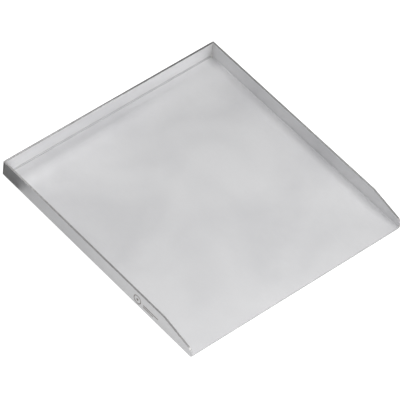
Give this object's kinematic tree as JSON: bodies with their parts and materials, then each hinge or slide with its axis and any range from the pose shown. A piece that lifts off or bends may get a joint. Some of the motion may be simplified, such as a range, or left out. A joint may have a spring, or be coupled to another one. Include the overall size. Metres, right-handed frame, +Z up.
{
  "type": "griddle tray",
  "caption": "Flat stainless-steel griddle tray with a low back wall, low side walls sloping down to rounded front tips, and an open front.",
  "frame": {"origin": "centre of the tray's underside, on the surface that it rests on", "axes": "+Z up, +Y from the open front towards the back wall, +X towards the right wall when seen from the open front"},
  "size_m": [0.38, 0.4, 0.029],
  "materials": {
    "satin_sheet": "satin rolled stainless steel with a very fine grain",
    "ground_seam": "weld ground flush, coarser grain"
  },
  "bodies": {
    "root": {"floor_panel": "satin_sheet", "back_wall": "satin_sheet", "left_wall": "satin_sheet", "right_wall": "satin_sheet", "back_left_corner_weld": "ground_seam", "back_right_corner_weld": "ground_seam"}
  },
  "joints": []
}
